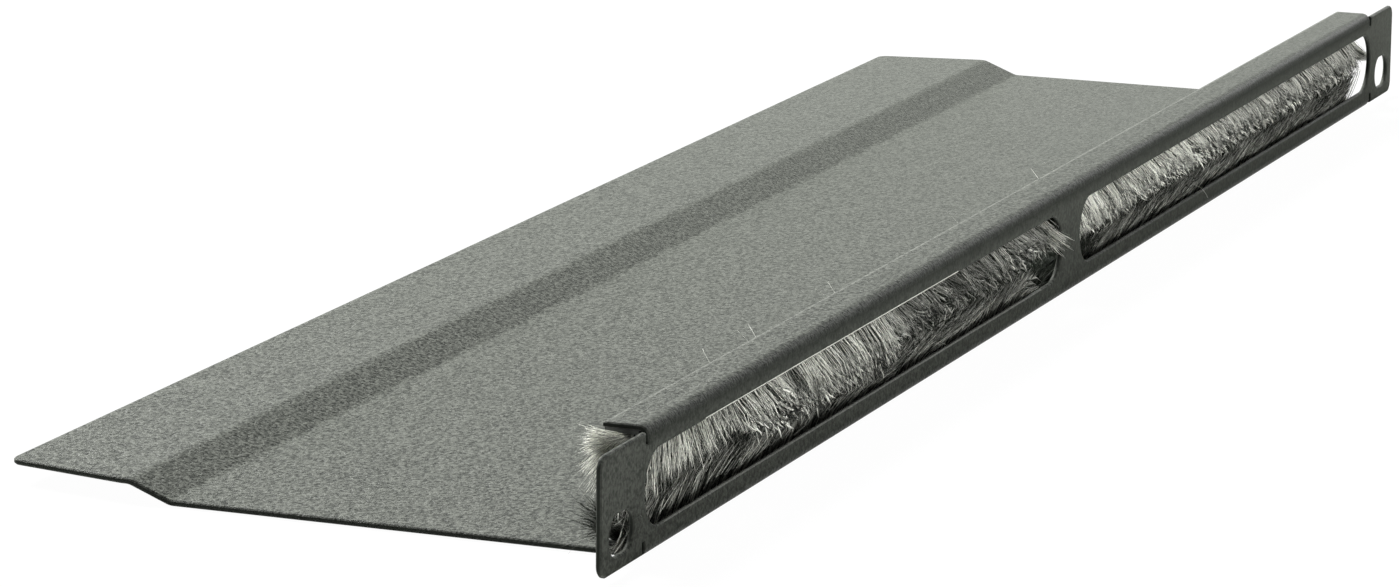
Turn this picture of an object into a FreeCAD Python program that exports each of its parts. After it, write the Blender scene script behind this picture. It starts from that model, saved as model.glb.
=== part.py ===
import FreeCAD, Part
import math
import os
import Sketcher

# Rack cable organizer: a folded sheet with two cable slots, closed by an upper and a lower pile strip.
# X runs along the panel, Y from the front face to the rear edge, Z up. The origin is the centre of the footprint.

# Driving dimensions in millimetres: alias, value, meaning.
SIZES = (
    ("panel_width", 482.6, "front width across both ears, 19-inch rack"),
    ("panel_height", 22.0, "underside of the tray to the top of the flange, half a rack unit"),
    ("overall_depth", 119.4, "front face to rear edge"),
    ("sheet_thickness", 1.0, "steel sheet with its coating"),
    ("bend_radius", 0.8, "inside radius of the two square folds"),
    ("edge_break", 0.25, "broken edge all round the punched outlines"),
    ("ear_drop", 0.85, "top of the flange down to the top of the ears"),
    ("ear_lift", 0.7, "underside of the tray up to the bottom of the ears"),
    ("ear_corner_radius", 2.5, "outer corners of the ears"),
    ("hole_inset", 8.75, "ear edge to the middle of the screw slot"),
    ("hole_height", 6.7, "underside of the tray to the middle of the screw slot"),
    ("hole_length", 10.5, "screw slot, end to end"),
    ("hole_width", 7.0, "screw slot, across"),
    ("flange_depth", 8.1, "front face to the flange's rear edge"),
    ("flange_inset", 20.1, "ear edge to the end of the flange"),
    ("tray_inset", 18.6, "ear edge to the side of the tray"),
    ("relief_width", 1.2, "slits beside the folds"),
    ("relief_reach", 1.2, "how far a slit runs past its fold"),
    ("slot_inset", 18.7, "ear edge to the outer end of a cable slot"),
    ("slot_sill", 4.35, "underside of the tray to the cable slots"),
    ("slot_header", 4.55, "top of the cable slots to the top of the flange"),
    ("bridge_width", 11.4, "metal left between the two cable slots"),
    ("step_run", 7.7, "depth of the step's ramp"),
    ("step_rise", 3.0, "height of the step"),
    ("step_radius", 3.0, "inside radius of the step's two bends"),
    ("lip_length", 23.4, "rear edge to where the lip starts to draw in"),
    ("lip_taper", 4.6, "how far each side of the rear lip draws in"),
    ("shoulder_run", 0.8, "end of the step to where the lip starts to draw in"),
    ("shoulder_radius", 6.0, "rounding where the lip starts to draw in"),
    ("rear_corner_radius", 2.5, "rear corners of the lip"),
    ("strip_setback", 1.1, "back of the front face to the brush strips"),
    ("strip_end_inset", 0.8, "flange end to the end of the brush strips"),
    ("tape_thickness", 0.3, "adhesive film under each backing"),
    ("backing_width", 6.0, "woven backing, front to rear"),
    ("backing_thickness", 0.6, "woven backing"),
    ("pile_root_width", 3.2, "pile where it leaves the backing"),
    ("pile_tip_width", 5.8, "pile fanned out at its tips"),
    ("tip_gap", 0.6, "between the tips of the two piles"),
    ("tuft_group_pitch", 12.0, "repeat of the clumps along a strip"),
    ("parting_width", 1.5, "mouth of a parting between two tufts"),
    ("long_parting", 5.6, "depth of the deepest partings"),
    ("short_parting", 2.2, "depth of the shallowest partings"),
    ("tuft_lean", 1.1, "sideways lean of the partings"),
)

doc = FreeCAD.newDocument("rack_cable_organizer")
sheet = doc.addObject("Spreadsheet::Sheet", "sizes")
for row, (alias, number, meaning) in enumerate(SIZES, start=1):
    sheet.set(f"A{row}", meaning)
    sheet.set(f"B{row}", str(number))
    sheet.setAlias(f"B{row}", alias)
doc.recompute()

# Places that several pieces share, as expressions of the driving dimensions.
PANEL_HALF = "(sizes.panel_width / 2)"
FLANGE_HALF = "(sizes.panel_width / 2 - sizes.flange_inset)"
TRAY_HALF = "(sizes.panel_width / 2 - sizes.tray_inset)"
BEND_OUTSIDE = "(sizes.bend_radius + sizes.sheet_thickness)"
FRONT_Y = "(-sizes.overall_depth / 2)"
FLANGE_UNDERSIDE = "(sizes.panel_height - sizes.sheet_thickness)"
STRIP_HALF = f"({FLANGE_HALF} - sizes.strip_end_inset)"
STRIP_FRONT = "(sizes.sheet_thickness + sizes.strip_setback)"
STRIP_MIDDLE = f"({STRIP_FRONT} + sizes.backing_width / 2)"
STRIP_BUILD_UP = "(sizes.tape_thickness + sizes.backing_thickness)"
MEETING_HEIGHT = "(sizes.panel_height / 2)"

CLOSE = 1e-4
ALONG = FreeCAD.Vector(1, 0, 0)
BACK = FreeCAD.Vector(0, 1, 0)
UP = FreeCAD.Vector(0, 0, 1)


def size(expression):
    return float(sheet.evalExpression(expression))


def bind(feature, **expressions):
    for name, expression in expressions.items():
        feature.setExpression(name.replace("__", "."), expression)


def add_body(label):
    body = doc.addObject("PartDesign::Body", label)
    body.Label = label
    bind(body, Placement__Base__y=FRONT_Y)
    return body


def add_sketch(body, name, role):
    sketch = body.newObject("Sketcher::SketchObject", name)
    plane = next(feature for feature in body.Origin.OriginFeatures if feature.Role == role)
    sketch.AttachmentSupport = (plane, [""])
    sketch.MapMode = "FlatFace"
    return sketch


def hold(sketch, geometry, end, place):
    # Ties one point of a sketch to its origin by two bound distances.
    for kind, expression in zip(("DistanceX", "DistanceY"), place):
        distance = Sketcher.Constraint(kind, -1, 1, geometry, end, size(expression))
        number = sketch.addConstraint(distance)
        sketch.setExpression(f"Constraints[{number}]", expression)


def add_polygon(sketch, corners):
    # Closed outline with straight sides; each corner is a pair of expressions.
    first = sketch.GeometryCount
    points = [FreeCAD.Vector(size(across), size(up), 0) for across, up in corners]
    for start, end in zip(points, points[1:] + points[:1]):
        sketch.addGeometry(Part.LineSegment(start, end))
    for index, corner in enumerate(corners):
        following = first + (index + 1) % len(corners)
        sketch.addConstraint(Sketcher.Constraint("Coincident", first + index, 2, following, 1))
        hold(sketch, first + index, 1, corner)


def add_obround(sketch, left, right, height, radius):
    # Slot with round ends: left and right are the centres of its ends.
    first = sketch.GeometryCount
    quarter = math.pi / 2
    reach = size(radius)
    lift = FreeCAD.Vector(0, reach, 0)
    ends = [FreeCAD.Vector(size(place), size(height), 0) for place in (left, right)]
    above = [end + lift for end in ends]
    below = [end - lift for end in ends]
    left_circle, right_circle = [Part.Circle(end, UP, reach) for end in ends]
    sketch.addGeometry(Part.ArcOfCircle(left_circle, quarter, 3 * quarter))
    sketch.addGeometry(Part.LineSegment(below[0], below[1]))
    sketch.addGeometry(Part.ArcOfCircle(right_circle, -quarter, quarter))
    sketch.addGeometry(Part.LineSegment(above[1], above[0]))
    for index in range(4):
        following = first + (index + 1) % 4
        sketch.addConstraint(Sketcher.Constraint("Tangent", first + index, 2, following, 1))
    for arc, place in ((first, left), (first + 2, right)):
        hold(sketch, arc, 3, (place, height))
        number = sketch.addConstraint(Sketcher.Constraint("Radius", arc, reach))
        sketch.setExpression(f"Constraints[{number}]", radius)


def add_pad(body, name, sketch, length, symmetric=False):
    pad = body.newObject("PartDesign::Pad", name)
    pad.Profile = sketch
    pad.SideType = "Symmetric" if symmetric else "One side"
    pad.Reversed = not symmetric
    bind(pad, Length=length)
    return pad


def add_pocket(body, name, sketch):
    # Cuts right through, both ways from the sketch.
    pocket = body.newObject("PartDesign::Pocket", name)
    pocket.Profile = sketch
    pocket.SideType = "Symmetric"
    pocket.Type = "ThroughAll"
    return pocket


def dress_edges(body, kind, name, wanted, **amount):
    # Adds a Fillet or a Chamfer on the wanted edges of the body as it stands.
    doc.recompute()
    base = body.Tip
    names = [f"Edge{number}" for number, edge in enumerate(base.Shape.Edges, start=1) if wanted(edge)]
    dressing = body.newObject(f"PartDesign::{kind}", name)
    dressing.Base = (base, names)
    bind(dressing, **amount)


def add_fillet(body, name, radius, wanted):
    dress_edges(body, "Fillet", name, wanted, Radius=radius)


def runs_along(edge, direction):
    start, end = edge.Vertexes[0].Point, edge.Vertexes[-1].Point
    return (end - start).cross(direction).Length < CLOSE and edge.Curve.TypeId == "Part::GeomLine"


def is_square(shape, edge):
    # True where the two faces at the edge's middle stand at a right angle.
    middle = edge.valueAt((edge.FirstParameter + edge.LastParameter) / 2)
    faces = shape.ancestorsOfType(edge, Part.Face)
    normals = [face.normalAt(*face.Surface.parameter(middle)) for face in faces]
    return abs(normals[0].dot(normals[1])) < 0.01


def at_section_points(points):
    # Picks edges along X, centred on the panel, that pass through any of the (y, z) points.
    places = [FreeCAD.Vector(0, size(depth), size(height)) for depth, height in points]

    def wanted(edge):
        along = runs_along(edge, ALONG)
        return along and any((edge.CenterOfMass - place).Length < CLOSE for place in places)

    return wanted


def make_folded_panel():
    body = add_body("folded_panel")

    # Front face with its ears; slits part the ears from the folds.
    slit_top = f"({BEND_OUTSIDE} + sizes.relief_reach)"
    slit_foot = f"(sizes.panel_height - {slit_top})"
    ear_top = "(sizes.panel_height - sizes.ear_drop)"
    lower_ear = f"({TRAY_HALF} + sizes.relief_width)"
    upper_ear = f"({FLANGE_HALF} + sizes.relief_width)"
    right_side = (
        (TRAY_HALF, "0"),
        (TRAY_HALF, slit_top),
        (lower_ear, slit_top),
        (lower_ear, "sizes.ear_lift"),
        (PANEL_HALF, "sizes.ear_lift"),
        (PANEL_HALF, ear_top),
        (upper_ear, ear_top),
        (upper_ear, slit_foot),
        (FLANGE_HALF, slit_foot),
        (FLANGE_HALF, "sizes.panel_height"),
    )
    left_side = [(f"(-{across})", up) for across, up in reversed(right_side)]
    front = add_sketch(body, "front_outline", "XZ_Plane")
    add_polygon(front, list(right_side) + left_side)
    add_pad(body, "front_face", front, "sizes.sheet_thickness")

    # Top flange and stepped tray, drawn as square sections and rounded afterwards.
    flange = add_sketch(body, "flange_section", "YZ_Plane")
    add_polygon(flange, [
        ("0", FLANGE_UNDERSIDE),
        ("sizes.flange_depth", FLANGE_UNDERSIDE),
        ("sizes.flange_depth", "sizes.panel_height"),
        ("0", "sizes.panel_height"),
    ])
    add_pad(body, "top_flange", flange, f"2 * {FLANGE_HALF}", symmetric=True)

    half_slope = "tan(atan(sizes.step_rise / sizes.step_run) / 2)"
    bend_reach = f"((sizes.step_radius + sizes.sheet_thickness) * {half_slope})"
    lip_start = "(sizes.overall_depth - sizes.lip_length)"
    step_end = f"({lip_start} - sizes.shoulder_run - {bend_reach})"
    step_start = f"({step_end} - sizes.step_run)"
    shift = f"(sizes.sheet_thickness * {half_slope})"
    lip_top = "(sizes.step_rise + sizes.sheet_thickness)"
    step_under = [(step_start, "0"), (step_end, "sizes.step_rise")]
    step_over = [(f"({step_end} - {shift})", lip_top), (f"({step_start} - {shift})", "sizes.sheet_thickness")]
    tray = add_sketch(body, "tray_section", "YZ_Plane")
    add_polygon(tray, [
        ("0", "0"),
        *step_under,
        ("sizes.overall_depth", "sizes.step_rise"),
        ("sizes.overall_depth", lip_top),
        *step_over,
        ("0", "sizes.sheet_thickness"),
    ])
    add_pad(body, "tray", tray, f"2 * {TRAY_HALF}", symmetric=True)

    # Sides of the rear lip, drawn in from just behind the step.
    clear = "sizes.overall_depth"
    for side, sign in (("left", "-"), ("right", "")):
        lip_side = add_sketch(body, f"{side}_lip_outline", "XY_Plane")
        add_polygon(lip_side, [
            (f"{sign}{TRAY_HALF}", lip_start),
            (f"{sign}({TRAY_HALF} - sizes.lip_taper)", "sizes.overall_depth"),
            (f"{sign}({TRAY_HALF} - sizes.lip_taper)", f"sizes.overall_depth + {clear}"),
            (f"{sign}({TRAY_HALF} + {clear})", f"sizes.overall_depth + {clear}"),
            (f"{sign}({TRAY_HALF} + {clear})", lip_start),
        ])
        add_pocket(body, f"{side}_lip_trim", lip_side)

    # Cable slots and rack-screw slots.
    openings = add_sketch(body, "opening_outlines", "XZ_Plane")
    slot_top = "(sizes.panel_height - sizes.slot_header)"
    slot_radius = f"(({slot_top} - sizes.slot_sill) / 2)"
    slot_height = f"(({slot_top} + sizes.slot_sill) / 2)"
    slot_outer = f"({PANEL_HALF} - sizes.slot_inset - {slot_radius})"
    slot_inner = f"(sizes.bridge_width / 2 + {slot_radius})"
    hole_radius = "(sizes.hole_width / 2)"
    hole_middle = f"({PANEL_HALF} - sizes.hole_inset)"
    hole_straight = "((sizes.hole_length - sizes.hole_width) / 2)"
    hole_outer = f"({hole_middle} + {hole_straight})"
    hole_inner = f"({hole_middle} - {hole_straight})"
    add_obround(openings, f"-{slot_outer}", f"-{slot_inner}", slot_height, slot_radius)
    add_obround(openings, slot_inner, slot_outer, slot_height, slot_radius)
    add_obround(openings, f"-{hole_outer}", f"-{hole_inner}", "sizes.hole_height", hole_radius)
    add_obround(openings, hole_inner, hole_outer, "sizes.hole_height", hole_radius)
    cut = body.newObject("PartDesign::Pocket", "openings")
    cut.Profile = openings
    bind(cut, Length="sizes.sheet_thickness")

    # Folds.
    add_fillet(body, "fold_insides", "sizes.bend_radius", at_section_points([
        ("sizes.sheet_thickness", "sizes.sheet_thickness"),
        ("sizes.sheet_thickness", FLANGE_UNDERSIDE),
    ]))
    add_fillet(body, "fold_outsides", BEND_OUTSIDE, at_section_points([("0", "0"), ("0", "sizes.panel_height")]))
    add_fillet(body, "step_insides", "sizes.step_radius", at_section_points([step_under[1], step_over[1]]))
    step_outside = "(sizes.step_radius + sizes.sheet_thickness)"
    add_fillet(body, "step_outsides", step_outside, at_section_points([step_under[0], step_over[0]]))

    # Corners of the ears and of the lip.
    ear_side = size(PANEL_HALF)

    def ear_corner(edge):
        return runs_along(edge, BACK) and abs(abs(edge.CenterOfMass.x) - ear_side) < CLOSE

    def upright_at(depth):
        return lambda edge: runs_along(edge, UP) and abs(edge.CenterOfMass.y - size(depth)) < CLOSE

    def punched(edge):
        # Square edges of the outline, slots and holes, but not the short ones in the slits.
        return edge.Length > size(slit_top) + CLOSE and is_square(body.Tip.Shape, edge)

    add_fillet(body, "ear_corners", "sizes.ear_corner_radius", ear_corner)
    add_fillet(body, "rear_corners", "sizes.rear_corner_radius", upright_at("sizes.overall_depth"))
    add_fillet(body, "lip_shoulders", "sizes.shoulder_radius", upright_at(lip_start))
    dress_edges(body, "Chamfer", "broken_edges", punched, Size="sizes.edge_break")
    return body


def make_layer(label, thickness, foot):
    # Flat ribbon of a brush strip, its underside at the height foot.
    layer = doc.addObject("Part::Box", label)
    layer.Label = label
    bind(
        layer,
        Length=f"2 * {STRIP_HALF}",
        Width="sizes.backing_width",
        Height=thickness,
        Placement__Base__x=f"-{STRIP_HALF}",
        Placement__Base__y=f"{FRONT_Y} + {STRIP_FRONT}",
        Placement__Base__z=foot,
    )
    return layer


def make_pile(label, root, sign):
    # Fanned row of tufts; root is where it leaves its backing, sign points from the tips to the root.
    body = add_body(label)
    tip = f"({MEETING_HEIGHT} {sign} sizes.tip_gap / 2)"
    fan = add_sketch(body, f"{label}_section", "YZ_Plane")
    add_polygon(fan, [
        (f"{STRIP_MIDDLE} - sizes.pile_root_width / 2", root),
        (f"{STRIP_MIDDLE} - sizes.pile_tip_width / 2", tip),
        (f"{STRIP_MIDDLE} + sizes.pile_tip_width / 2", tip),
        (f"{STRIP_MIDDLE} + sizes.pile_root_width / 2", root),
    ])
    add_pad(body, f"{label}_row", fan, f"2 * {STRIP_HALF}", symmetric=True)

    # One group of partings between tufts, repeated along the strip.
    partings = add_sketch(body, f"{label}_partings", "XZ_Plane")
    middle_parting = "((sizes.long_parting + sizes.short_parting) / 2)"
    depths = ("sizes.long_parting", "sizes.short_parting", middle_parting, "sizes.short_parting")
    for index, depth in enumerate(depths):
        place = f"(-{STRIP_HALF} + ({index} + 0.5) / {len(depths)} * sizes.tuft_group_pitch)"
        mouth = f"({tip} - ({sign}sizes.tip_gap / 4))"
        add_polygon(partings, [
            (f"{place} - sizes.parting_width / 2", mouth),
            (f"{place} + sizes.parting_width / 2", mouth),
            (f"{place} - sizes.tuft_lean", f"{tip} {sign} {depth}"),
        ])
    cut = add_pocket(body, f"{label}_parting_group", partings)
    doc.recompute()
    row = body.newObject("PartDesign::LinearPattern", f"{label}_parting_row")
    row.Originals = [cut]
    along = next(feature for feature in body.Origin.OriginFeatures if feature.Role == "X_Axis")
    row.Direction = (along, [""])
    row.Mode = "Spacing"
    bind(row, Offset="sizes.tuft_group_pitch", Occurrences=f"floor(2 * {STRIP_HALF} / sizes.tuft_group_pitch)")
    body.Tip = row
    return body


nodes = [
    make_folded_panel(),
    make_layer("upper_tape", "sizes.tape_thickness", f"{FLANGE_UNDERSIDE} - sizes.tape_thickness"),
    make_layer("upper_backing", "sizes.backing_thickness", f"{FLANGE_UNDERSIDE} - {STRIP_BUILD_UP}"),
    make_pile("upper_pile", f"({FLANGE_UNDERSIDE} - {STRIP_BUILD_UP})", "+"),
    make_layer("lower_tape", "sizes.tape_thickness", "sizes.sheet_thickness"),
    make_layer("lower_backing", "sizes.backing_thickness", "sizes.sheet_thickness + sizes.tape_thickness"),
    make_pile("lower_pile", f"(sizes.sheet_thickness + {STRIP_BUILD_UP})", "-"),
]
doc.recompute()

for item in doc.Objects:
    if "Invalid" in item.State or "Error" in item.State:
        raise RuntimeError(f"{item.Label} failed: {item.State}")
for node in nodes:
    if node.Shape.isNull() or not node.Shape.isValid():
        raise RuntimeError(f"{node.Label} has no valid shape")

os.makedirs("parts", exist_ok=True)
for node in nodes:
    node.Shape.exportStep(f"parts/{node.Label}.step")
    print(f"{node.Label}: {len(node.Shape.Solids)} solid, {node.Shape.Volume:.1f} cubic millimetres")
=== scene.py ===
import math
import random

import bmesh
import bpy
from mathutils import Matrix, Quaternion, Vector, noise


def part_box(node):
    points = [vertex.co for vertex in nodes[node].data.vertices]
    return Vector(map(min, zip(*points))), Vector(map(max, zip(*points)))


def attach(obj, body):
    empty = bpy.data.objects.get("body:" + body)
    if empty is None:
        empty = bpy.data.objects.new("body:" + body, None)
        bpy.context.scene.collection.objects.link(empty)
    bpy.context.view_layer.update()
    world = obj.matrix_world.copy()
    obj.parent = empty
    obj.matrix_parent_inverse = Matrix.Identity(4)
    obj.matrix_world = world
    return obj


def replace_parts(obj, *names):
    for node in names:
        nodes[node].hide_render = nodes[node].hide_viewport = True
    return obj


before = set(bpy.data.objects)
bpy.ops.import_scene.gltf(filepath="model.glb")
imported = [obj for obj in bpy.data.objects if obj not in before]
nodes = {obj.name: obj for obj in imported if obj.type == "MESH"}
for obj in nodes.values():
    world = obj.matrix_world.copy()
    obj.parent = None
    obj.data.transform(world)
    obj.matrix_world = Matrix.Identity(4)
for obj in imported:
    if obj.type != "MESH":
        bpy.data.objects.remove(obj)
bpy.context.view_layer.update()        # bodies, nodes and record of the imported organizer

mm = 0.001
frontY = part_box("folded_panel")[0].y     # plane of the front face
scene = bpy.context.scene
scene.view_settings.view_transform = "Standard"


def hexColour(code):
    channels = [int(code[place:place + 2], 16) / 255 for place in (1, 3, 5)]
    linear = [c / 12.92 if c <= 0.04045 else ((c + 0.055) / 1.055) ** 2.4 for c in channels]
    return (*linear, 1.0)


def addNode(tree, kind, inputs=None, **settings):
    node = tree.nodes.new(kind)
    for name, value in settings.items():
        setattr(node, name, value)
    for socket, value in (inputs or {}).items():
        if isinstance(value, bpy.types.NodeSocket):
            tree.links.new(value, node.inputs[socket])
        else:
            node.inputs[socket].default_value = value
    return node


def newMaterial(name):
    material = bpy.data.materials.new(name)
    material.use_nodes = True
    tree = material.node_tree
    return material, tree, tree.nodes["Principled BSDF"]


def dress(piece, material):
    piece.data.materials.clear()
    piece.data.materials.append(material)


# camera, solved on the panel's straight edges
cameraPlan = dict(
    place=(-1079.195, -408.022, 246.461),    # mm
    aim=(0.90836737, 0.35960984, -0.21342326),
    roll=0.4928,                             # degrees
    focal=5846.65,                           # in pixels of the 1399 wide frame
    frameWidth=1399,
    sensor=36.0,                             # mm
    clip=(0.05, 50.0),                       # m
)


def placeCamera(plan):
    data = bpy.data.cameras.new("camera")
    data.sensor_fit = "HORIZONTAL"
    data.sensor_width = plan["sensor"]
    data.lens = plan["focal"] / plan["frameWidth"] * plan["sensor"]
    data.clip_start, data.clip_end = plan["clip"]
    camera = bpy.data.objects.new("camera", data)
    camera.location = Vector(plan["place"]) * mm
    camera.rotation_mode = "QUATERNION"
    turn = Vector(plan["aim"]).to_track_quat("-Z", "Y")
    camera.rotation_quaternion = turn @ Quaternion((0, 0, 1), math.radians(plan["roll"]))
    scene.collection.objects.link(camera)
    scene.camera = camera


placeCamera(cameraPlan)
print("camera placed")


# studio: white surround, a big soft lamp above and behind the tray, one far off to the right and a low one
# in front
studio = dict(
    ambient=0.20,            # world light on the object
    floorColour="#DADADA",
    floorWhite=0.98,         # share of plain white in what the floor shows
    floorDrop=0.3,           # mm under the part
    floorRadius=6.0,         # m
    lamps=(
        dict(name="skyPanel", place=(0.5, 1.1, 1.2), aim=(0.1, 0.0, 0.0), size=(1.1, 0.8), power=195.0),
        dict(name="sidePanel", place=(3.6, -1.0, 1.2), aim=(0.0, 0.0, 0.0), size=(2.2, 1.4), power=80.0),
        dict(name="frontPanel", place=(0.0, -2.2, 0.12), aim=(0.0, -0.05, 0.01), size=(1.6, 0.2), power=19.0),
    ),
)


def seenWhite(tree):
    # 1 for rays that show the surround: straight to the eye, mirrored or through glass
    path = addNode(tree, "ShaderNodeLightPath")
    seen = path.outputs["Is Camera Ray"]
    for ray in ("Is Glossy Ray", "Is Transmission Ray"):
        both = addNode(tree, "ShaderNodeMath", {0: seen, 1: path.outputs[ray]}, operation="MAXIMUM")
        seen = both.outputs[0]
    return seen


def buildStudio(plan):
    world = bpy.data.worlds.new("studio")
    scene.world = world
    world.use_nodes = True
    tree = world.node_tree
    seen = seenWhite(tree)
    strength = addNode(tree, "ShaderNodeMapRange", {
        "Value": seen, "To Min": plan["ambient"], "To Max": 1.0,
    })
    background = tree.nodes["Background"]
    background.inputs["Color"].default_value = (1, 1, 1, 1)
    tree.links.new(strength.outputs["Result"], background.inputs["Strength"])

    bm = bmesh.new()
    bmesh.ops.create_circle(bm, cap_ends=True, segments=64, radius=plan["floorRadius"])
    mesh = bpy.data.meshes.new("floor")
    bm.to_mesh(mesh)
    bm.free()
    mesh.transform(Matrix.Translation((0, 0, -plan["floorDrop"] * mm)))
    floor = bpy.data.objects.new("floor", mesh)
    scene.collection.objects.link(floor)

    # matt paper sweep: shows white, and keeps a faint shadow
    material, tree, paper = newMaterial("paperSweep")
    paper.inputs["Base Color"].default_value = hexColour(plan["floorColour"])
    paper.inputs["Roughness"].default_value = 0.9
    paper.inputs["Specular IOR Level"].default_value = 0.0
    glow = addNode(tree, "ShaderNodeEmission", {"Color": (1, 1, 1, 1), "Strength": 1.0})
    share = addNode(tree, "ShaderNodeMath", {
        0: seenWhite(tree), 1: plan["floorWhite"],
    }, operation="MULTIPLY")
    mixed = addNode(tree, "ShaderNodeMixShader", {
        0: share.outputs[0], 1: paper.outputs[0], 2: glow.outputs[0],
    })
    tree.links.new(mixed.outputs[0], tree.nodes["Material Output"].inputs["Surface"])
    dress(floor, material)

    for lamp in plan["lamps"]:
        data = bpy.data.lights.new(lamp["name"], "AREA")
        data.shape = "RECTANGLE"
        data.size, data.size_y = lamp["size"]
        data.energy = lamp["power"]
        light = bpy.data.objects.new(lamp["name"], data)
        light.location = lamp["place"]
        towards = Vector(lamp["aim"]) - Vector(lamp["place"])
        light.rotation_euler = towards.to_track_quat("-Z", "Y").to_euler()
        scene.collection.objects.link(light)


buildStudio(studio)
print("studio lit")


# leather-grain powder coat on steel: a matt dark grey skin whose pebbles catch the light as fine flecks
powderCoat = dict(
    colour="#4D4F4A",
    # colour of the painted shade in the grain's pits and under the fold
    paintedShade="#232522",
    # colour of the painted highlights along the edges
    edgeHighlight="#D0D2C9",
    sideShade="#1F211E",    # painted shade on faces that look sideways along x, such as the cut ends of the sheet
    sideShadeFacing=(0.5, 0.95),       # how far a face looks sideways where that painted shade starts and is full
    pebble=0.74,         # mm, grain of the coat, drawn a little coarse so that it shows
    fine=0.32,           # mm, flecks on the grain
    fleckSpan=(0.3, 0.7),        # heights of the flecks that are smoothest and dullest
    fleckShare=0.45,     # height of the flecks against the grain
    tint=(0.35, 0.65),   # heights of the grain that show in full painted shade and in the full colour
    depth=0.32,          # mm, height of the grain
    soft=1.2,            # mm, how wide the coat rounds off the folds and edges
    front=0.5,           # strength of the grain on upright faces
    fade=(1.0, 0.45),    # strength of the grain at the left and right ends
    fadeEnds=(-200.0, 200.0),    # mm, where those ends are
    edges=(              # painted highlights along edges: x, depth behind the front, z and how far
        ((-196.0, -68.0), (-0.1, 0.4), (17.6, 17.84), 0.8),       # above the left slot
        ((-214.0, -18.0), (-0.1, 0.4), (4.16, 4.4), 0.15),        # on its sill
        ((-222.0, 222.0), (7.4, 8.2), (21.8, 22.1), 0.032),       # rear edge of the flange
    ),
    fold=(17.8, 20.2),   # mm, heights over which the coat's colour is painted darker towards the fold over the slots, a painted shade
    foldShadeShare=0.65,      # how dark that painted shade gets
    foldHalf=221.0,      # mm, half of that fold's length
    roughness=(0.26, 0.36),
    specular=0.01,
)


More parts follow.
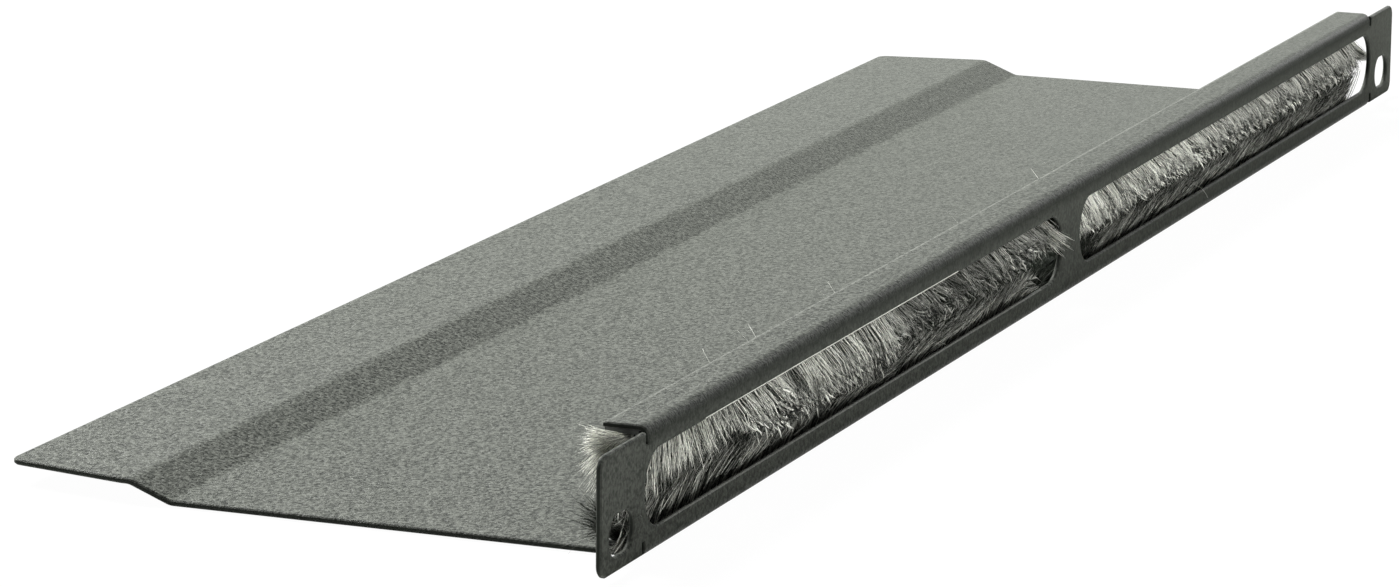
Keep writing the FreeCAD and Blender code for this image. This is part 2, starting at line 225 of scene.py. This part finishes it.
def makePowderCoat(plan):
    material, tree, skin = newMaterial("leatherGrainPowderCoat")
    coords = addNode(tree, "ShaderNodeTexCoord")
    place = coords.outputs["Object"]
    facing = addNode(tree, "ShaderNodeVectorMath", {0: coords.outputs["Normal"]}, operation="ABSOLUTE")
    broad = addNode(tree, "ShaderNodeVectorMath", {
        0: facing.outputs[0], 1: (0.0, plan["front"], 1.0),
    }, operation="DOT_PRODUCT")
    sideShade = addNode(tree, "ShaderNodeVectorMath", {
        0: facing.outputs[0], 1: (1.0, 0.0, 0.0),
    }, operation="DOT_PRODUCT")
    upright = addNode(tree, "ShaderNodeVectorMath", {
        0: facing.outputs[0], 1: (0.0, 1.0, 0.0),
    }, operation="DOT_PRODUCT")
    pebbles = addNode(tree, "ShaderNodeTexNoise", {
        "Vector": place, "Scale": 1 / (plan["pebble"] * mm),
        "Detail": 2.0, "Roughness": 0.55, "Distortion": 0.4,
    })
    flecks = addNode(tree, "ShaderNodeTexNoise", {
        "Vector": place, "Scale": 1 / (plan["fine"] * mm), "Detail": 1.0, "Roughness": 0.5,
    })
    height = addNode(tree, "ShaderNodeMath", {
        0: flecks.outputs["Fac"], 1: plan["fleckShare"], 2: pebbles.outputs["Fac"],
    }, operation="MULTIPLY_ADD")
    tint = addNode(tree, "ShaderNodeMapRange", {
        "Value": pebbles.outputs["Fac"], "From Min": plan["tint"][0], "From Max": plan["tint"][1],
    })
    axes = addNode(tree, "ShaderNodeSeparateXYZ", {0: place})
    fade = addNode(tree, "ShaderNodeMapRange", {
        "Value": axes.outputs["X"],
        "From Min": plan["fadeEnds"][0] * mm, "From Max": plan["fadeEnds"][1] * mm,
        "To Min": plan["fade"][0], "To Max": plan["fade"][1],
    })
    strength = addNode(tree, "ShaderNodeMath", {
        0: fade.outputs["Result"], 1: broad.outputs["Value"],
    }, operation="MULTIPLY", use_clamp=True)
    # painted shade in the grain's pits and painted light on its tops: the colour follows the grain's height
    grainShadeShare = addNode(tree, "ShaderNodeMix", {
        "Factor": strength.outputs[0], 2: 0.5, 3: tint.outputs["Result"],
    })
    colour = addNode(tree, "ShaderNodeMix", {
        "Factor": grainShadeShare.outputs[0], 6: hexColour(plan["paintedShade"]), 7: hexColour(plan["colour"]),
    }, data_type="RGBA")
    # painted shade on the faces that look sideways along x
    sideShadeShare = addNode(tree, "ShaderNodeMapRange", {
        "Value": sideShade.outputs["Value"], "From Min": plan["sideShadeFacing"][0], "From Max": plan["sideShadeFacing"][1],
    })
    colour = addNode(tree, "ShaderNodeMix", {
        "Factor": sideShadeShare.outputs["Result"], 6: colour.outputs[2], 7: hexColour(plan["sideShade"]),
    }, data_type="RGBA")
    # painted shade on upright faces, darker towards the fold over the slots
    foldShadeRamp = addNode(tree, "ShaderNodeMapRange", {
        "Value": axes.outputs["Z"], "From Min": plan["fold"][0] * mm, "From Max": plan["fold"][1] * mm,
        "To Max": plan["foldShadeShare"],
    })
    alongFold = addNode(tree, "ShaderNodeMath", {
        0: axes.outputs["X"], 1: 0.0, 2: plan["foldHalf"] * mm,
    }, operation="COMPARE")
    onFold = addNode(tree, "ShaderNodeMath", {
        0: foldShadeRamp.outputs["Result"], 1: alongFold.outputs[0],
    }, operation="MULTIPLY")
    foldShade = addNode(tree, "ShaderNodeMath", {
        0: onFold.outputs[0], 1: upright.outputs["Value"],
    }, operation="MULTIPLY")
    colour = addNode(tree, "ShaderNodeMix", {
        "Factor": foldShade.outputs[0], 6: colour.outputs[2], 7: hexColour(plan["paintedShade"]),
    }, data_type="RGBA")
    # painted highlight along an edge: 1 inside its box of x, y and z, times its share
    edgeHighlightShare = 0.0
    for *ranges, share in plan["edges"]:
        for axis, start, (low, high) in zip("XYZ", (0.0, frontY, 0.0), ranges):
            within = addNode(tree, "ShaderNodeMath", {
                0: axes.outputs[axis], 1: start + (low + high) / 2 * mm, 2: (high - low) / 2 * mm,
            }, operation="COMPARE")
            inside = addNode(tree, "ShaderNodeMath", {0: within.outputs[0], 1: share}, operation="MULTIPLY")
            share = inside.outputs[0]
        edgeHighlightShare = addNode(tree, "ShaderNodeMath", {0: share, 1: edgeHighlightShare}, operation="MAXIMUM").outputs[0]
    # the coat's colour mixed towards a painted highlight along those edges
    shown = addNode(tree, "ShaderNodeMix", {
        "Factor": edgeHighlightShare, 6: colour.outputs[2], 7: hexColour(plan["edgeHighlight"]),
    }, data_type="RGBA")
    matt = addNode(tree, "ShaderNodeMapRange", {
        "Value": flecks.outputs["Fac"], "From Min": plan["fleckSpan"][0], "From Max": plan["fleckSpan"][1],
        "To Min": plan["roughness"][0], "To Max": plan["roughness"][1],
    })
    rounded = addNode(tree, "ShaderNodeBevel", {"Radius": plan["soft"] * mm}, samples=6)
    grain = addNode(tree, "ShaderNodeBump", {
        "Height": height.outputs[0], "Strength": strength.outputs[0], "Distance": plan["depth"] * mm,
        "Normal": rounded.outputs["Normal"],
    })
    tree.links.new(shown.outputs[2], skin.inputs["Base Color"])
    tree.links.new(matt.outputs["Result"], skin.inputs["Roughness"])
    tree.links.new(grain.outputs["Normal"], skin.inputs["Normal"])
    level = addNode(tree, "ShaderNodeVectorMath", {
        0: facing.outputs[0], 1: (0.0, 0.0, plan["specular"]),
    }, operation="DOT_PRODUCT")
    tree.links.new(level.outputs["Value"], skin.inputs["Specular IOR Level"])
    skin.inputs["IOR"].default_value = 1.5
    return material


dress(nodes["folded_panel"], makePowderCoat(powderCoat))
print("panel coated")


# pile of the brush strips, in mm
pileFibre = dict(
    light="#F4F5EA",
    dark="#1A1E19",
    roughness=0.36,
    specular=0.25,       # of the lightest hair
)
tuftPlan = dict(
    kinds=16,            # different tufts
    hairs=38,            # in one tuft
    width=2.4,           # along the strip
    depth=3.4,           # front to rear at the root
    radius=(0.05, 0.1),
    cuts=(0.3, 0.6, 0.9),
    fan=0.5,             # how much wider the tips stand than the roots
    stray=1.5,           # how far a tip may wander along the strip
    strayDeep=0.6,       # and front to rear, against that
    rearShadeTone=0.2,        # painted shade: tone of the rear rows against the front ones
    rearStart=0.45,      # where the rear rows end, and over what share of the depth they lighten
    rearBlend=0.35,
    tall=(0.86, 1.05),   # lengths of the hairs against the tuft's
    taper=0.4,           # width that a hair loses before its point
    middleBend=0.8,      # bend of the middle rows against the front ones
    rearBend=0.25,       # and of the rear ones
    droop=0.25,          # share of the bend that comes near the tip
    leastRise=0.2,       # share of its length that a bent hair still rises
    tipShadeFrom=0.55,        # height above which tips are painted darker and below which roots are painted lighter
    greys=(              # share of the hairs, darkest and lightest
        (0.42, 0.01, 0.1),
        (0.14, 0.2, 0.6),
        (0.38, 0.9, 1.0),
        (0.06, 2.0, 3.5),
    ),
)
clumpPlan = dict(        # how tufts and clumps differ along both strips
    lean=2.0,            # sideways, either way
    forward=1.0,         # and front to rear
    clumpTone=(0.85, 1.15),
    wave=6.0,            # length of a wave in the combing
    waveLean=1.4,
    waveSeed=1795701638,         # fixes the waves, which would start from the clock otherwise
    hollow=0.08,         # length that a clump loses at its sides
    pitch=(0.75, 1.25),
    length=(0.93, 1.05),
    tone=(0.85, 1.12),
)
# rows of a comb: x, lean of the tips sideways and forward, length of the hairs and tone. The tone also
# carries painted shade: low in the partings between clumps, near black where short hairs fill the shaded gap
# at the bridge, and low in the lower pile, partly its own darker grey and partly painted shade under the
# upper one
upperPile = dict(
    node="upper_pile",
    seed=11,
    lengths=4,               # pieces that the strip is made in
    down=True,
    pitch=0.9,               # between tufts
    clump=(5.5, 13.0),       # widths of the clumps
    draw=(0.0, 0.25),        # how far a clump closes up
    gaps=((209.5, 222.0),),  # lengths without tufts
    tame=(4.0, 0.3),         # x past which the clumps differ by this share
    tipShade=0.0,             # painted shade and light: how much darker the tips are painted than the roots
    comb=(
        (-221, -7.5, 0.0, 15.0, 1.15),
        (-212, -8.0, 1.0, 14.5, 1.15),
        (-205, -6.5, 1.5, 12.5, 1.4),
        (-198, -4.0, 2.0, 11.2, 1.5),
        (-190, -1.5, 2.5, 11.4, 1.5),
        (-186, 0.0, 2.0, 9.5, 0.8),
        (-181, 0.5, 1.0, 7.5, 0.3),
        (-177, 5.0, 4.0, 12.5, 1.2),
        (-168, 9.0, 6.0, 16.4, 1.4),
        (-159, 9.0, 6.0, 16.8, 1.4),
        (-156, 4.0, 3.5, 11.0, 0.3),
        (-151, 5.0, 3.5, 11.0, 0.35),
        (-148, 6.5, 5.0, 15.0, 1.3),
        (-136, 6.5, 5.0, 15.8, 1.3),
        (-133, 5.0, 3.6, 12.5, 0.5),
        (-128, 7.0, 5.0, 15.6, 1.2),
        (-110, 8.0, 5.5, 16.0, 1.2),
        (-104, 8.0, 5.5, 14.0, 0.7),
        (-97, 8.0, 4.0, 12.0, 0.3),
        (-90, 8.0, 5.5, 13.5, 0.36),
        (-73, 8.5, 5.5, 13.5, 0.32),
        (-69, 7.0, 3.8, 12.0, 0.14),
        (-62, 8.0, 5.2, 13.5, 0.32),
        (-57, 7.0, 4.2, 12.0, 0.16),
        (-50, 8.0, 5.2, 13.5, 0.42),
        (-30, 8.5, 5.5, 13.5, 0.53),
        (-20, 8.0, 4.0, 11.5, 0.34),
        (-14, 8.5, 5.5, 13.0, 0.75),
        # near-black short hairs: painted shade filling the gap at the bridge
        (-12.5, 3.0, 2.0, 8.0, 0.02),
        (3, 1.0, 2.0, 8.0, 0.02),
        (5, 3.0, 4.0, 12.0, 1.4),
        (20, 5.0, 5.0, 12.8, 1.5),
        (60, 7.5, 5.4, 13.2, 1.35),
        (110, 7.5, 5.4, 13.2, 0.85),
        (190, 7.5, 5.4, 13.2, 0.6),
        (204, 6.0, 4.5, 12.4, 0.6),
        (213, 3.0, 3.5, 11.0, 0.55),
    ),
)
lowerPile = dict(
    node="lower_pile",
    seed=23,
    lengths=2,
    down=False,
    pitch=1.3,
    clump=(6.0, 14.0),
    draw=(0.0, 0.25),
    gaps=((216.5, 222.0),),
    tame=(4.0, 1.2),
    tipShade=1.0,
    comb=(
        (-221, 2.0, 1.0, 8.0, 0.28),
        (-205, 3.0, 2.2, 9.4, 0.32),
        (-178, 3.5, 2.4, 9.8, 0.32),
        (-150, 4.5, 2.0, 9.0, 0.26),
        (-110, 5.0, 1.8, 8.6, 0.28),
        (-60, 5.5, 1.8, 8.8, 0.44),
        (-22, 5.5, 1.5, 8.6, 0.34),
        # near-black short hairs: painted shade filling the gap at the bridge
        (-19, 3.0, 0.5, 5.5, 0.02),
        (16, 2.0, 0.5, 6.5, 0.03),
        (22, 2.0, 3.0, 8.4, 0.32),
        (60, 2.5, 3.2, 8.6, 0.37),
        (190, 2.5, 3.2, 8.6, 0.37),
        (221, 2.5, 3.0, 8.6, 0.34),
    ),
)
slotPlan = dict(         # the cable slots in the front face
    outer=222.6,
    inner=5.7,
    sill=4.35,
    top=17.45,
    behind=1.15,         # how near hairs come to the front where the sheet covers them
    ahead=0.1,           # and where a slot is open
    margin=0.2,          # kept from a slot's edge
)


def makePileFibre(plan):
    # drawn polypropylene fibre: silvery, glossy along its side, each hair its own grey
    material, tree, hair = newMaterial("polypropylenePile")
    tone = addNode(tree, "ShaderNodeAttribute", attribute_name="fibreTone")
    colour = addNode(tree, "ShaderNodeMix", {
        "Factor": tone.outputs["Fac"], 6: hexColour(plan["dark"]), 7: hexColour(plan["light"]),
    }, data_type="RGBA")
    shine = addNode(tree, "ShaderNodeMath", {
        0: tone.outputs["Fac"], 1: plan["specular"],
    }, operation="MULTIPLY")
    tree.links.new(colour.outputs[2], hair.inputs["Base Color"])
    hair.inputs["Roughness"].default_value = plan["roughness"]
    tree.links.new(shine.outputs[0], hair.inputs["Specular IOR Level"])
    hair.inputs["IOR"].default_value = 1.49
    return material


def growTuft(plan, number):
    # one tuft of pointed hairs on the plane z=0; heights run from 0 at the root to about 1 at the tip
    rng = random.Random(number)
    bm = bmesh.new()
    tone = bm.verts.layers.float.new("fibreTone")
    shares = [share for share, low, high in plan["greys"]]
    for hair in range(plan["hairs"]):
        root = Vector((rng.uniform(-0.5, 0.5) * plan["width"], rng.uniform(-0.5, 0.5) * plan["depth"]))
        made = bmesh.ops.create_cone(
            bm, cap_ends=True, segments=3, radius1=rng.uniform(*plan["radius"]), radius2=0, depth=1,
            matrix=Matrix.Translation((0, 0, 0.5)) @ Matrix.Rotation(rng.uniform(0, 2), 4, "Z"),
        )
        strand = list(made["verts"])
        for cut in plan["cuts"]:
            edges = {e for v in strand for e in v.link_edges}
            faces = {f for v in strand for f in v.link_faces}
            ring = bmesh.ops.bisect_plane(
                bm, geom=[*strand, *edges, *faces], plane_co=(0, 0, cut), plane_no=(0, 0, 1),
            )
            strand += [v for v in ring["geom_cut"] if isinstance(v, bmesh.types.BMVert)]
        deep = plan["stray"] * plan["strayDeep"]
        spread = Vector((rng.gauss(0, plan["stray"]), root.y * plan["fan"] + rng.gauss(0, deep)))
        curl = Vector((rng.gauss(0, plan["stray"]), rng.gauss(0, deep)))
        tall = rng.uniform(*plan["tall"])
        share, low, high = rng.choices(plan["greys"], shares)[0]
        # the rear rows of a tuft are painted darker, a painted shade
        front = 1.0
        if plan["depth"]:
            front = min(max((root.y / plan["depth"] + plan["rearStart"]) / plan["rearBlend"], 0.0), 1.0)
        grey = rng.uniform(low, high) * (plan["rearShadeTone"] + (1 - plan["rearShadeTone"]) * front)
        for v in strand:
            h = v.co.z
            full = (1 - plan["taper"] * h) / max(1 - h, 0.01)    # a hair keeps its width until near the tip
            curled = curl * h * (1.6 * h - 0.6)      # back first, then out
            aside = v.co.xy * full + root + spread * h + curled
            v.co = (aside.x, aside.y, h * tall)
            v[tone] = grey
    mesh = bpy.data.meshes.new(f"tuft{number}")
    bm.to_mesh(mesh)
    bm.free()
    return mesh


def combAt(comb, x):
    # lean, forward lean, length and tone at x, in proportion between two rows of the comb
    after = next((place for place, row in enumerate(comb) if row[0] > x), len(comb) - 1)
    low, high = comb[max(after - 1, 0)], comb[after]
    share = min(max((x - low[0]) / (high[0] - low[0]), 0.0), 1.0) if high is not low else 0.0
    return [a + (b - a) * share for a, b in zip(low[1:], high[1:])]


def clumpsAlong(plan, start, end, rng):
    # neighbouring tufts close up together, which leaves partings between the clumps
    clumps = []
    edge = start
    while edge < end:
        width = rng.uniform(*plan["clump"])
        clumps.append(dict(
            middle=edge + width / 2, half=width / 2, draw=rng.uniform(*plan["draw"]),
            lean=rng.uniform(-clumpPlan["lean"], clumpPlan["lean"]),
            forward=rng.uniform(-clumpPlan["forward"], clumpPlan["forward"]),
            tone=rng.uniform(*clumpPlan["clumpTone"]),
        ))
        edge += width
    return clumps


def behindPanel(point):
    # hairs come forward only where a slot is open
    radius = (slotPlan["top"] - slotPlan["sill"]) / 2
    along = min(max(abs(point.x), slotPlan["inner"] + radius), slotPlan["outer"] - radius)
    off = math.hypot(abs(point.x) - along, point.z - slotPlan["sill"] - radius)
    limit = slotPlan["behind"] if off > radius - slotPlan["margin"] else slotPlan["ahead"]
    point.y = max(point.y, frontY / mm + limit)
    return point


def bentTuft(tuft, place, turn, bend, length, shade, tipShade):
    # copy of a tuft with its tips carried aside by bend, more towards the tip and less in the rear rows
    copy = tuft.copy()
    for v, tone in zip(copy.vertices, copy.attributes["fibreTone"].data):
        h = v.co.z
        row = min(max(v.co.y / tuftPlan["depth"] + tuftPlan["middleBend"], tuftPlan["rearBend"]), 1.0)
        aside = bend * row * h * (1 - tuftPlan["droop"] * (1 - h))
        least = tuftPlan["leastRise"] * h * length
        rise = math.sqrt(max((h * length) ** 2 - aside.length_squared, least ** 2))
        v.co = behindPanel(place + turn @ Vector((v.co.x + aside.x, v.co.y + aside.y, rise)))
        # painted light near the roots and painted shade towards the tips
        tone.value = min(1.0, tone.value * shade * (1 + tipShade * (tuftPlan["tipShadeFrom"] - h)))
    return copy


def finishHair(bm, name, material):
    bmesh.ops.scale(bm, vec=(mm, mm, mm), verts=bm.verts)
    mesh = bpy.data.meshes.new(name)
    bm.to_mesh(mesh)
    bm.free()
    mesh.polygons.foreach_set("use_smooth", [True] * len(mesh.polygons))
    piece = bpy.data.objects.new(name, mesh)
    scene.collection.objects.link(piece)
    dress(piece, material)
    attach(piece, "root")
    mesh.calc_loop_triangles()
    print(name, len(mesh.loop_triangles), "triangles")
    return piece


def brushStrip(plan, tufts, material):
    low, high = [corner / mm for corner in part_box(plan["node"])]
    rng = random.Random(plan["seed"])
    middleY = (low.y + high.y) / 2
    rootZ = high.z if plan["down"] else low.z
    turn = Matrix.Rotation(math.pi, 3, "X" if plan["down"] else "Z")      # local y points to the front
    aside = 1 if plan["down"] else -1        # local x that points to the right
    clumps = clumpsAlong(plan, low.x, high.x, rng)
    x = low.x + tuftPlan["width"] / 2
    for number in range(plan["lengths"]):
        bm = bmesh.new()
        bm.verts.layers.float.new("fibreTone")
        stop = low.x + (high.x - low.x) * (number + 1) / plan["lengths"]
        while x < min(stop, high.x - tuftPlan["width"] / 2):
            clump = min(clumps, key=lambda c: abs(x - c["middle"]) - c["half"])
            lean, forward, length, tone = combAt(plan["comb"], x)
            across = (x - clump["middle"]) / clump["half"]
            play = plan["tame"][1] if x > plan["tame"][0] else 1.0
            wave = noise.noise_vector((x / clumpPlan["wave"], plan["seed"], 0)) * play
            closing = across * clump["half"] * clump["draw"]
            bend = Vector((
                aside * (lean + clump["lean"] * play - closing + wave.x * clumpPlan["waveLean"]),
                forward + clump["forward"] * play + wave.y,
            ))
            length *= (1 - clumpPlan["hollow"] * across * across) * rng.uniform(*clumpPlan["length"])
            tone *= clump["tone"] * rng.uniform(*clumpPlan["tone"])
            if not any(start < x < end for start, end in plan["gaps"]):
                place = Vector((x, middleY, rootZ))
                copy = bentTuft(rng.choice(tufts), place, turn, bend, length, tone, plan["tipShade"])
                bm.from_mesh(copy)
                bpy.data.meshes.remove(copy)
            x += plan["pitch"] * rng.uniform(*clumpPlan["pitch"])
        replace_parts(finishHair(bm, f"{plan['node']}_{number + 1}", material), plan["node"])


tufts = [growTuft(tuftPlan, number) for number in range(tuftPlan["kinds"])]
fibre = makePileFibre(pileFibre)
noise.seed_set(clumpPlan["waveSeed"])
brushStrip(upperPile, tufts, fibre)
brushStrip(lowerPile, tufts, fibre)
print("piles grown")


# locks that stand out of the rows, and loose hairs
# each path is root, bend and tip, as x, depth behind the front and height in mm
looseLocks = dict(
    seed=5,
    toneSpread=(0.85, 1.15),
    # path, width at root and tip against a tuft's, tone, tufts
    locks=(
        # behind the left ear
        (((-220.5, 4.2, 19.2), (-223.5, 6.0, 19.8), (-226.5, 9.0, 20.0)), (0.4, 0.7), 1.5, 5),
        (((-220.5, 4.2, 19.2), (-223.5, 6.2, 19.2), (-226.2, 9.2, 17.2)), (0.4, 0.8), 1.5, 6),
        (((-220.5, 4.2, 19.0), (-224.5, 6.5, 18.5), (-226.2, 8.4, 13.6)), (0.4, 0.8), 1.5, 5),
        (((-220.5, 4.2, 19.0), (-224.5, 5.5, 17.0), (-226.0, 7.2, 10.3)), (0.4, 0.8), 0.7, 3),
        (((-220.5, 3.8, 19.4), (-222.8, 4.8, 19.6), (-224.8, 6.4, 18.2)), (0.4, 0.7), 1.5, 7),
        (((-219.4, 6.0, 2.5), (-221.5, 8.0, 5.5), (-224.5, 9.4, 8.0)), (0.6, 1.2), 0.07, 4),
        (((-219.4, 6.0, 2.5), (-222.5, 8.0, 5.0), (-225.0, 9.0, 5.6)), (0.6, 1.2), 0.07, 4),
        # behind its screw slot
        (((-219.4, 4.5, 4.0), (-222.0, 3.5, 7.0), (-227.5, 2.8, 9.0)), (0.6, 0.9), 0.12, 4),
        (((-219.4, 5.0, 2.0), (-224.0, 4.5, 1.6), (-229.5, 3.0, 2.2)), (0.4, 0.45), 0.4, 3),
    ),
    broad=(
        # over the bridge
        (((-14.5, 4.2, 19.5), (-12.5, 2.5, 14.8), (-8.4, -1.2, 11.2)), (0.6, 0.6), 3.0, 10),
        # past the right end
        (((211.0, 4.5, 20.0), (215.0, 3.5, 14.5), (236.0, 3.0, 9.0)), (0.8, 0.05), 1.1, 8),
        (((209.0, 4.5, 20.0), (214.0, 3.5, 11.5), (236.0, 3.0, 9.0)), (0.8, 0.05), 1.1, 8),
    ),
    fine=dict(hairs=60, radius=(0.03, 0.055), stray=1.4, rearShadeTone=1.0),      # fluff, against a tuft
    fineKinds=4,
    fineSeed=100,
    single=dict(             # one hair by itself, against a tuft
        hairs=1, width=0.0, depth=0.0, stray=0.0, radius=(0.045, 0.045),
        cuts=(0.15, 0.3, 0.45, 0.6, 0.75, 0.9), greys=((1.0, 1.0, 1.0),),
    ),
    strandTone=0.55,
    strands=(
        # curling up behind the flange
        ((-170, 7.5, 18.0), (-169, 10.5, 21.0), (-166, 13.0, 23.0)),
        ((-152, 7.5, 18.5), (-151, 10.0, 21.0), (-153, 12.0, 23.5)),
        ((-149, 7.5, 18.0), (-148, 10.0, 21.5), (-143, 13.5, 22.5)),
        ((-112, 7.5, 18.5), (-111, 10.0, 21.0), (-114, 12.5, 23.0)),
        ((-108, 7.5, 18.5), (-107, 11.0, 21.0), (-104, 13.0, 22.5)),
        ((-41, 7.5, 18.5), (-40, 10.0, 21.5), (-42, 12.5, 24.0)),
        ((8, 7.5, 18.5), (9, 10.5, 21.0), (13, 13.5, 22.5)),
        ((18, 7.5, 18.5), (18, 10.0, 21.0), (15, 12.0, 23.5)),
        # crossing behind the left ear's screw slot
        ((-222, 3.0, 8.0), (-227, 2.0, 7.0), (-233, 2.0, 7.6)),
        ((-222, 3.0, 3.0), (-226, 2.2, 6.0), (-231, 2.0, 9.0)),
        ((-222, 3.0, 9.5), (-227, 2.0, 5.5), (-231.5, 2.0, 3.0)),
        ((-222, 3.0, 4.5), (-227, 2.2, 3.2), (-233, 2.0, 2.2)),
        # hanging over the right slot's sill
        ((86, 1.5, 6.2), (87.5, -1.2, 6.0), (92, -1.0, 1.0)),
    ),
)


def layAlong(bm, tuft, path, width, shade):
    # copy of a tuft laid along a curve from root round bend to tip
    root, bend, tip = [Vector((x, frontY / mm + back, up)) for x, back, up in path]
    copy = tuft.copy()
    for v, tone in zip(copy.vertices, copy.attributes["fibreTone"].data):
        h = v.co.z
        along = root * (1 - h) ** 2 + bend * 2 * h * (1 - h) + tip * h * h
        heading = (bend - root) * (1 - h) + (tip - bend) * h
        wide = width[0] + (width[1] - width[0]) * h
        v.co = along + heading.to_track_quat("Z", "Y") @ Vector((v.co.x * wide, v.co.y * wide, 0))
        tone.value = min(1.0, tone.value * shade)
    bm.from_mesh(copy)
    bpy.data.meshes.remove(copy)


def layLooseLocks(plan, tufts, material):
    rng = random.Random(plan["seed"])
    bm = bmesh.new()
    bm.verts.layers.float.new("fibreTone")
    seeds = range(plan["fineSeed"], plan["fineSeed"] + plan["fineKinds"])
    fluff = [growTuft({**tuftPlan, **plan["fine"]}, number) for number in seeds]
    for locks, kinds in ((plan["locks"], fluff), (plan["broad"], tufts)):
        for path, width, tone, copies in locks:
            for number in range(copies):
                layAlong(bm, rng.choice(kinds), path, width, tone * rng.uniform(*plan["toneSpread"]))
    single = growTuft({**tuftPlan, **plan["single"]}, tuftPlan["kinds"])
    for path in plan["strands"]:
        layAlong(bm, single, path, (1.0, 1.0), plan["strandTone"])
    finishHair(bm, "loose_locks", material)


layLooseLocks(looseLocks, tufts, fibre)
print("loose locks laid")


# woven ribbon that holds the pile, and the black film that holds the ribbon to the sheet
ribbonPlan = dict(
    colour="#2B2E2A",
    thread="#3C403A",
    pitch=0.5,           # mm between threads
    ribs=0.1,            # mm, height of a thread
    roughness=0.75,
)
filmPlan = dict(
    colour="#141514",
    smear=2.0,           # mm, patches of more and less gloss
    roughness=(0.3, 0.6),
)


def makeRibbon(plan):
    # woven polypropylene ribbon: dull, with the threads just showing as fine ribs
    material, tree, cloth = newMaterial("wovenRibbon")
    place = addNode(tree, "ShaderNodeTexCoord").outputs["Object"]
    threads = addNode(tree, "ShaderNodeTexWave", {
        "Vector": place, "Scale": math.pi / (10 * plan["pitch"] * mm), "Distortion": 0.6, "Detail": 1.0,
    }, bands_direction="X")
    colour = addNode(tree, "ShaderNodeMix", {
        "Factor": threads.outputs["Fac"], 6: hexColour(plan["colour"]), 7: hexColour(plan["thread"]),
    }, data_type="RGBA")
    ribs = addNode(tree, "ShaderNodeBump", {
        "Height": threads.outputs["Fac"], "Strength": 0.6, "Distance": plan["ribs"] * mm,
    })
    tree.links.new(colour.outputs[2], cloth.inputs["Base Color"])
    tree.links.new(ribs.outputs["Normal"], cloth.inputs["Normal"])
    cloth.inputs["Roughness"].default_value = plan["roughness"]
    return material


def makeFilm(plan):
    # acrylic adhesive film: black, slightly shiny where its edge shows
    material, tree, film = newMaterial("acrylicFilm")
    place = addNode(tree, "ShaderNodeTexCoord").outputs["Object"]
    smear = addNode(tree, "ShaderNodeTexNoise", {
        "Vector": place, "Scale": 1 / (plan["smear"] * mm), "Detail": 2.0,
    })
    gloss = addNode(tree, "ShaderNodeMapRange", {
        "Value": smear.outputs["Fac"], "To Min": plan["roughness"][0], "To Max": plan["roughness"][1],
    })
    tree.links.new(gloss.outputs["Result"], film.inputs["Roughness"])
    film.inputs["Base Color"].default_value = hexColour(plan["colour"])
    return material


ribbon, film = makeRibbon(ribbonPlan), makeFilm(filmPlan)
for side in ("upper", "lower"):
    dress(nodes[f"{side}_backing"], ribbon)
    dress(nodes[f"{side}_tape"], film)
print("ribbons and films dressed")


# dark heart of each pile, a solid painted as the shade between the hairs, which closes the gaps between them
heartPlan = dict(
    colour="#0F120E",
    roughness=0.9,
    specular=0.05,
    ends=14.0,           # mm, how far it stops short of the pile's ends
    rootHalf=1.0,        # mm, half its width at the roots and at its top
    tipHalf=1.2,
    share=0.42,          # of the pile's height
    lump=5.0,            # mm, length of a lump along it
    lumpDeep=0.5,        # mm, how far lumps stand out and up
    lumpHigh=1.6,
    cuts=160,
)


def makePileShade(plan):
    # painted shade inside the pile: nearly black, since no light comes back from between the hairs
    material, tree, roots = newMaterial("pileShadeCore")
    roots.inputs["Base Color"].default_value = hexColour(plan["colour"])
    roots.inputs["Roughness"].default_value = plan["roughness"]
    roots.inputs["Specular IOR Level"].default_value = plan["specular"]
    return material


def pileHeart(plan, pile, material):
    low, high = [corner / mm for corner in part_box(pile["node"])]
    tall = (high.z - low.z) * plan["share"]
    bm = bmesh.new()
    bmesh.ops.create_cube(bm, size=1)
    lengthways = [e for e in bm.edges if abs(e.verts[0].co.x - e.verts[1].co.x) > 0.5]
    bmesh.ops.subdivide_edges(bm, edges=lengthways, cuts=plan["cuts"], use_grid_fill=True)
    for v in bm.verts:
        atTip = v.co.z > 0
        half = plan["tipHalf"] if atTip else plan["rootHalf"]
        x = (low.x + high.x) / 2 + v.co.x * (high.x - low.x - 2 * plan["ends"])
        lump = noise.noise((x / plan["lump"], v.co.y * 3, pile["seed"])) if atTip else 0
        y = (low.y + high.y) / 2 + v.co.y * 2 * (half + plan["lumpDeep"] * lump)
        z = (tall + plan["lumpHigh"] * lump) if atTip else 0.0
        v.co = (x, y, high.z - z if pile["down"] else low.z + z)
    bmesh.ops.recalc_face_normals(bm, faces=bm.faces)
    bmesh.ops.scale(bm, vec=(mm, mm, mm), verts=bm.verts)
    mesh = bpy.data.meshes.new(f"{pile['node']}_heart")
    bm.to_mesh(mesh)
    bm.free()
    piece = bpy.data.objects.new(mesh.name, mesh)
    scene.collection.objects.link(piece)
    dress(piece, material)
    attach(piece, "root")
    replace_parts(piece, pile["node"])


pileShade = makePileShade(heartPlan)
for pile in (upperPile, lowerPile):
    pileHeart(heartPlan, pile, pileShade)
print("pile hearts set")
